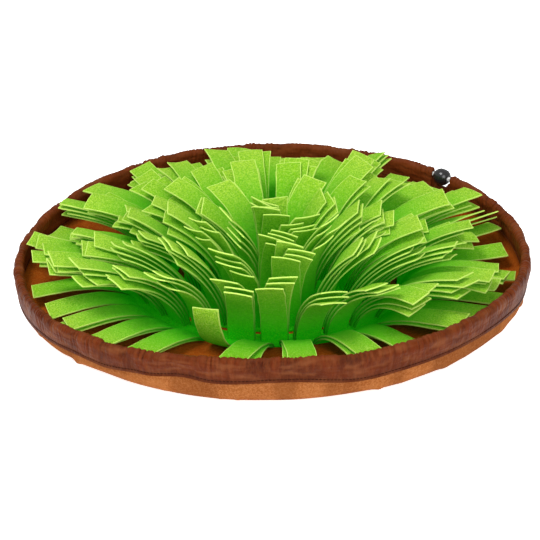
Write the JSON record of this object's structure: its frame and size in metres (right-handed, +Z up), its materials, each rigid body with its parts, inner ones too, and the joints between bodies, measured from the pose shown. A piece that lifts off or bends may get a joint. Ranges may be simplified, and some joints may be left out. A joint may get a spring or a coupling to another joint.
{
  "type": "snuffle mat",
  "caption": "Round cloth dish with a gathered edge casing, drawcord and cord lock, filled with rings of felt fringe strips that hide dry food.",
  "frame": {"origin": "middle of the flat underside, on the surface the mat lies on", "axes": "+Z up, +X to the picture's right, +Y away from the picture's camera; the cord lock is at 43 degrees from +X towards +Y"},
  "size_m": [0.5, 0.5, 0.1062],
  "materials": {
    "suede_cloth": "napped, matte, tan",
    "casing_cloth": "smooth woven, slightly satiny, brown",
    "cord_braid": "braided, matte, off-white",
    "lock_plastic": "glossy black",
    "felt": "needled felt, matte, lime green"
  },
  "bodies": {
    "root": {"base": "suede_cloth", "casing": "casing_cloth", "drawcord": "cord_braid", "cord_lock": "lock_plastic", "fringe_centre": "felt", "fringe_ring_1": "felt", "fringe_ring_2": "felt", "fringe_ring_3": "felt", "fringe_ring_4": "felt"}
  },
  "joints": []
}
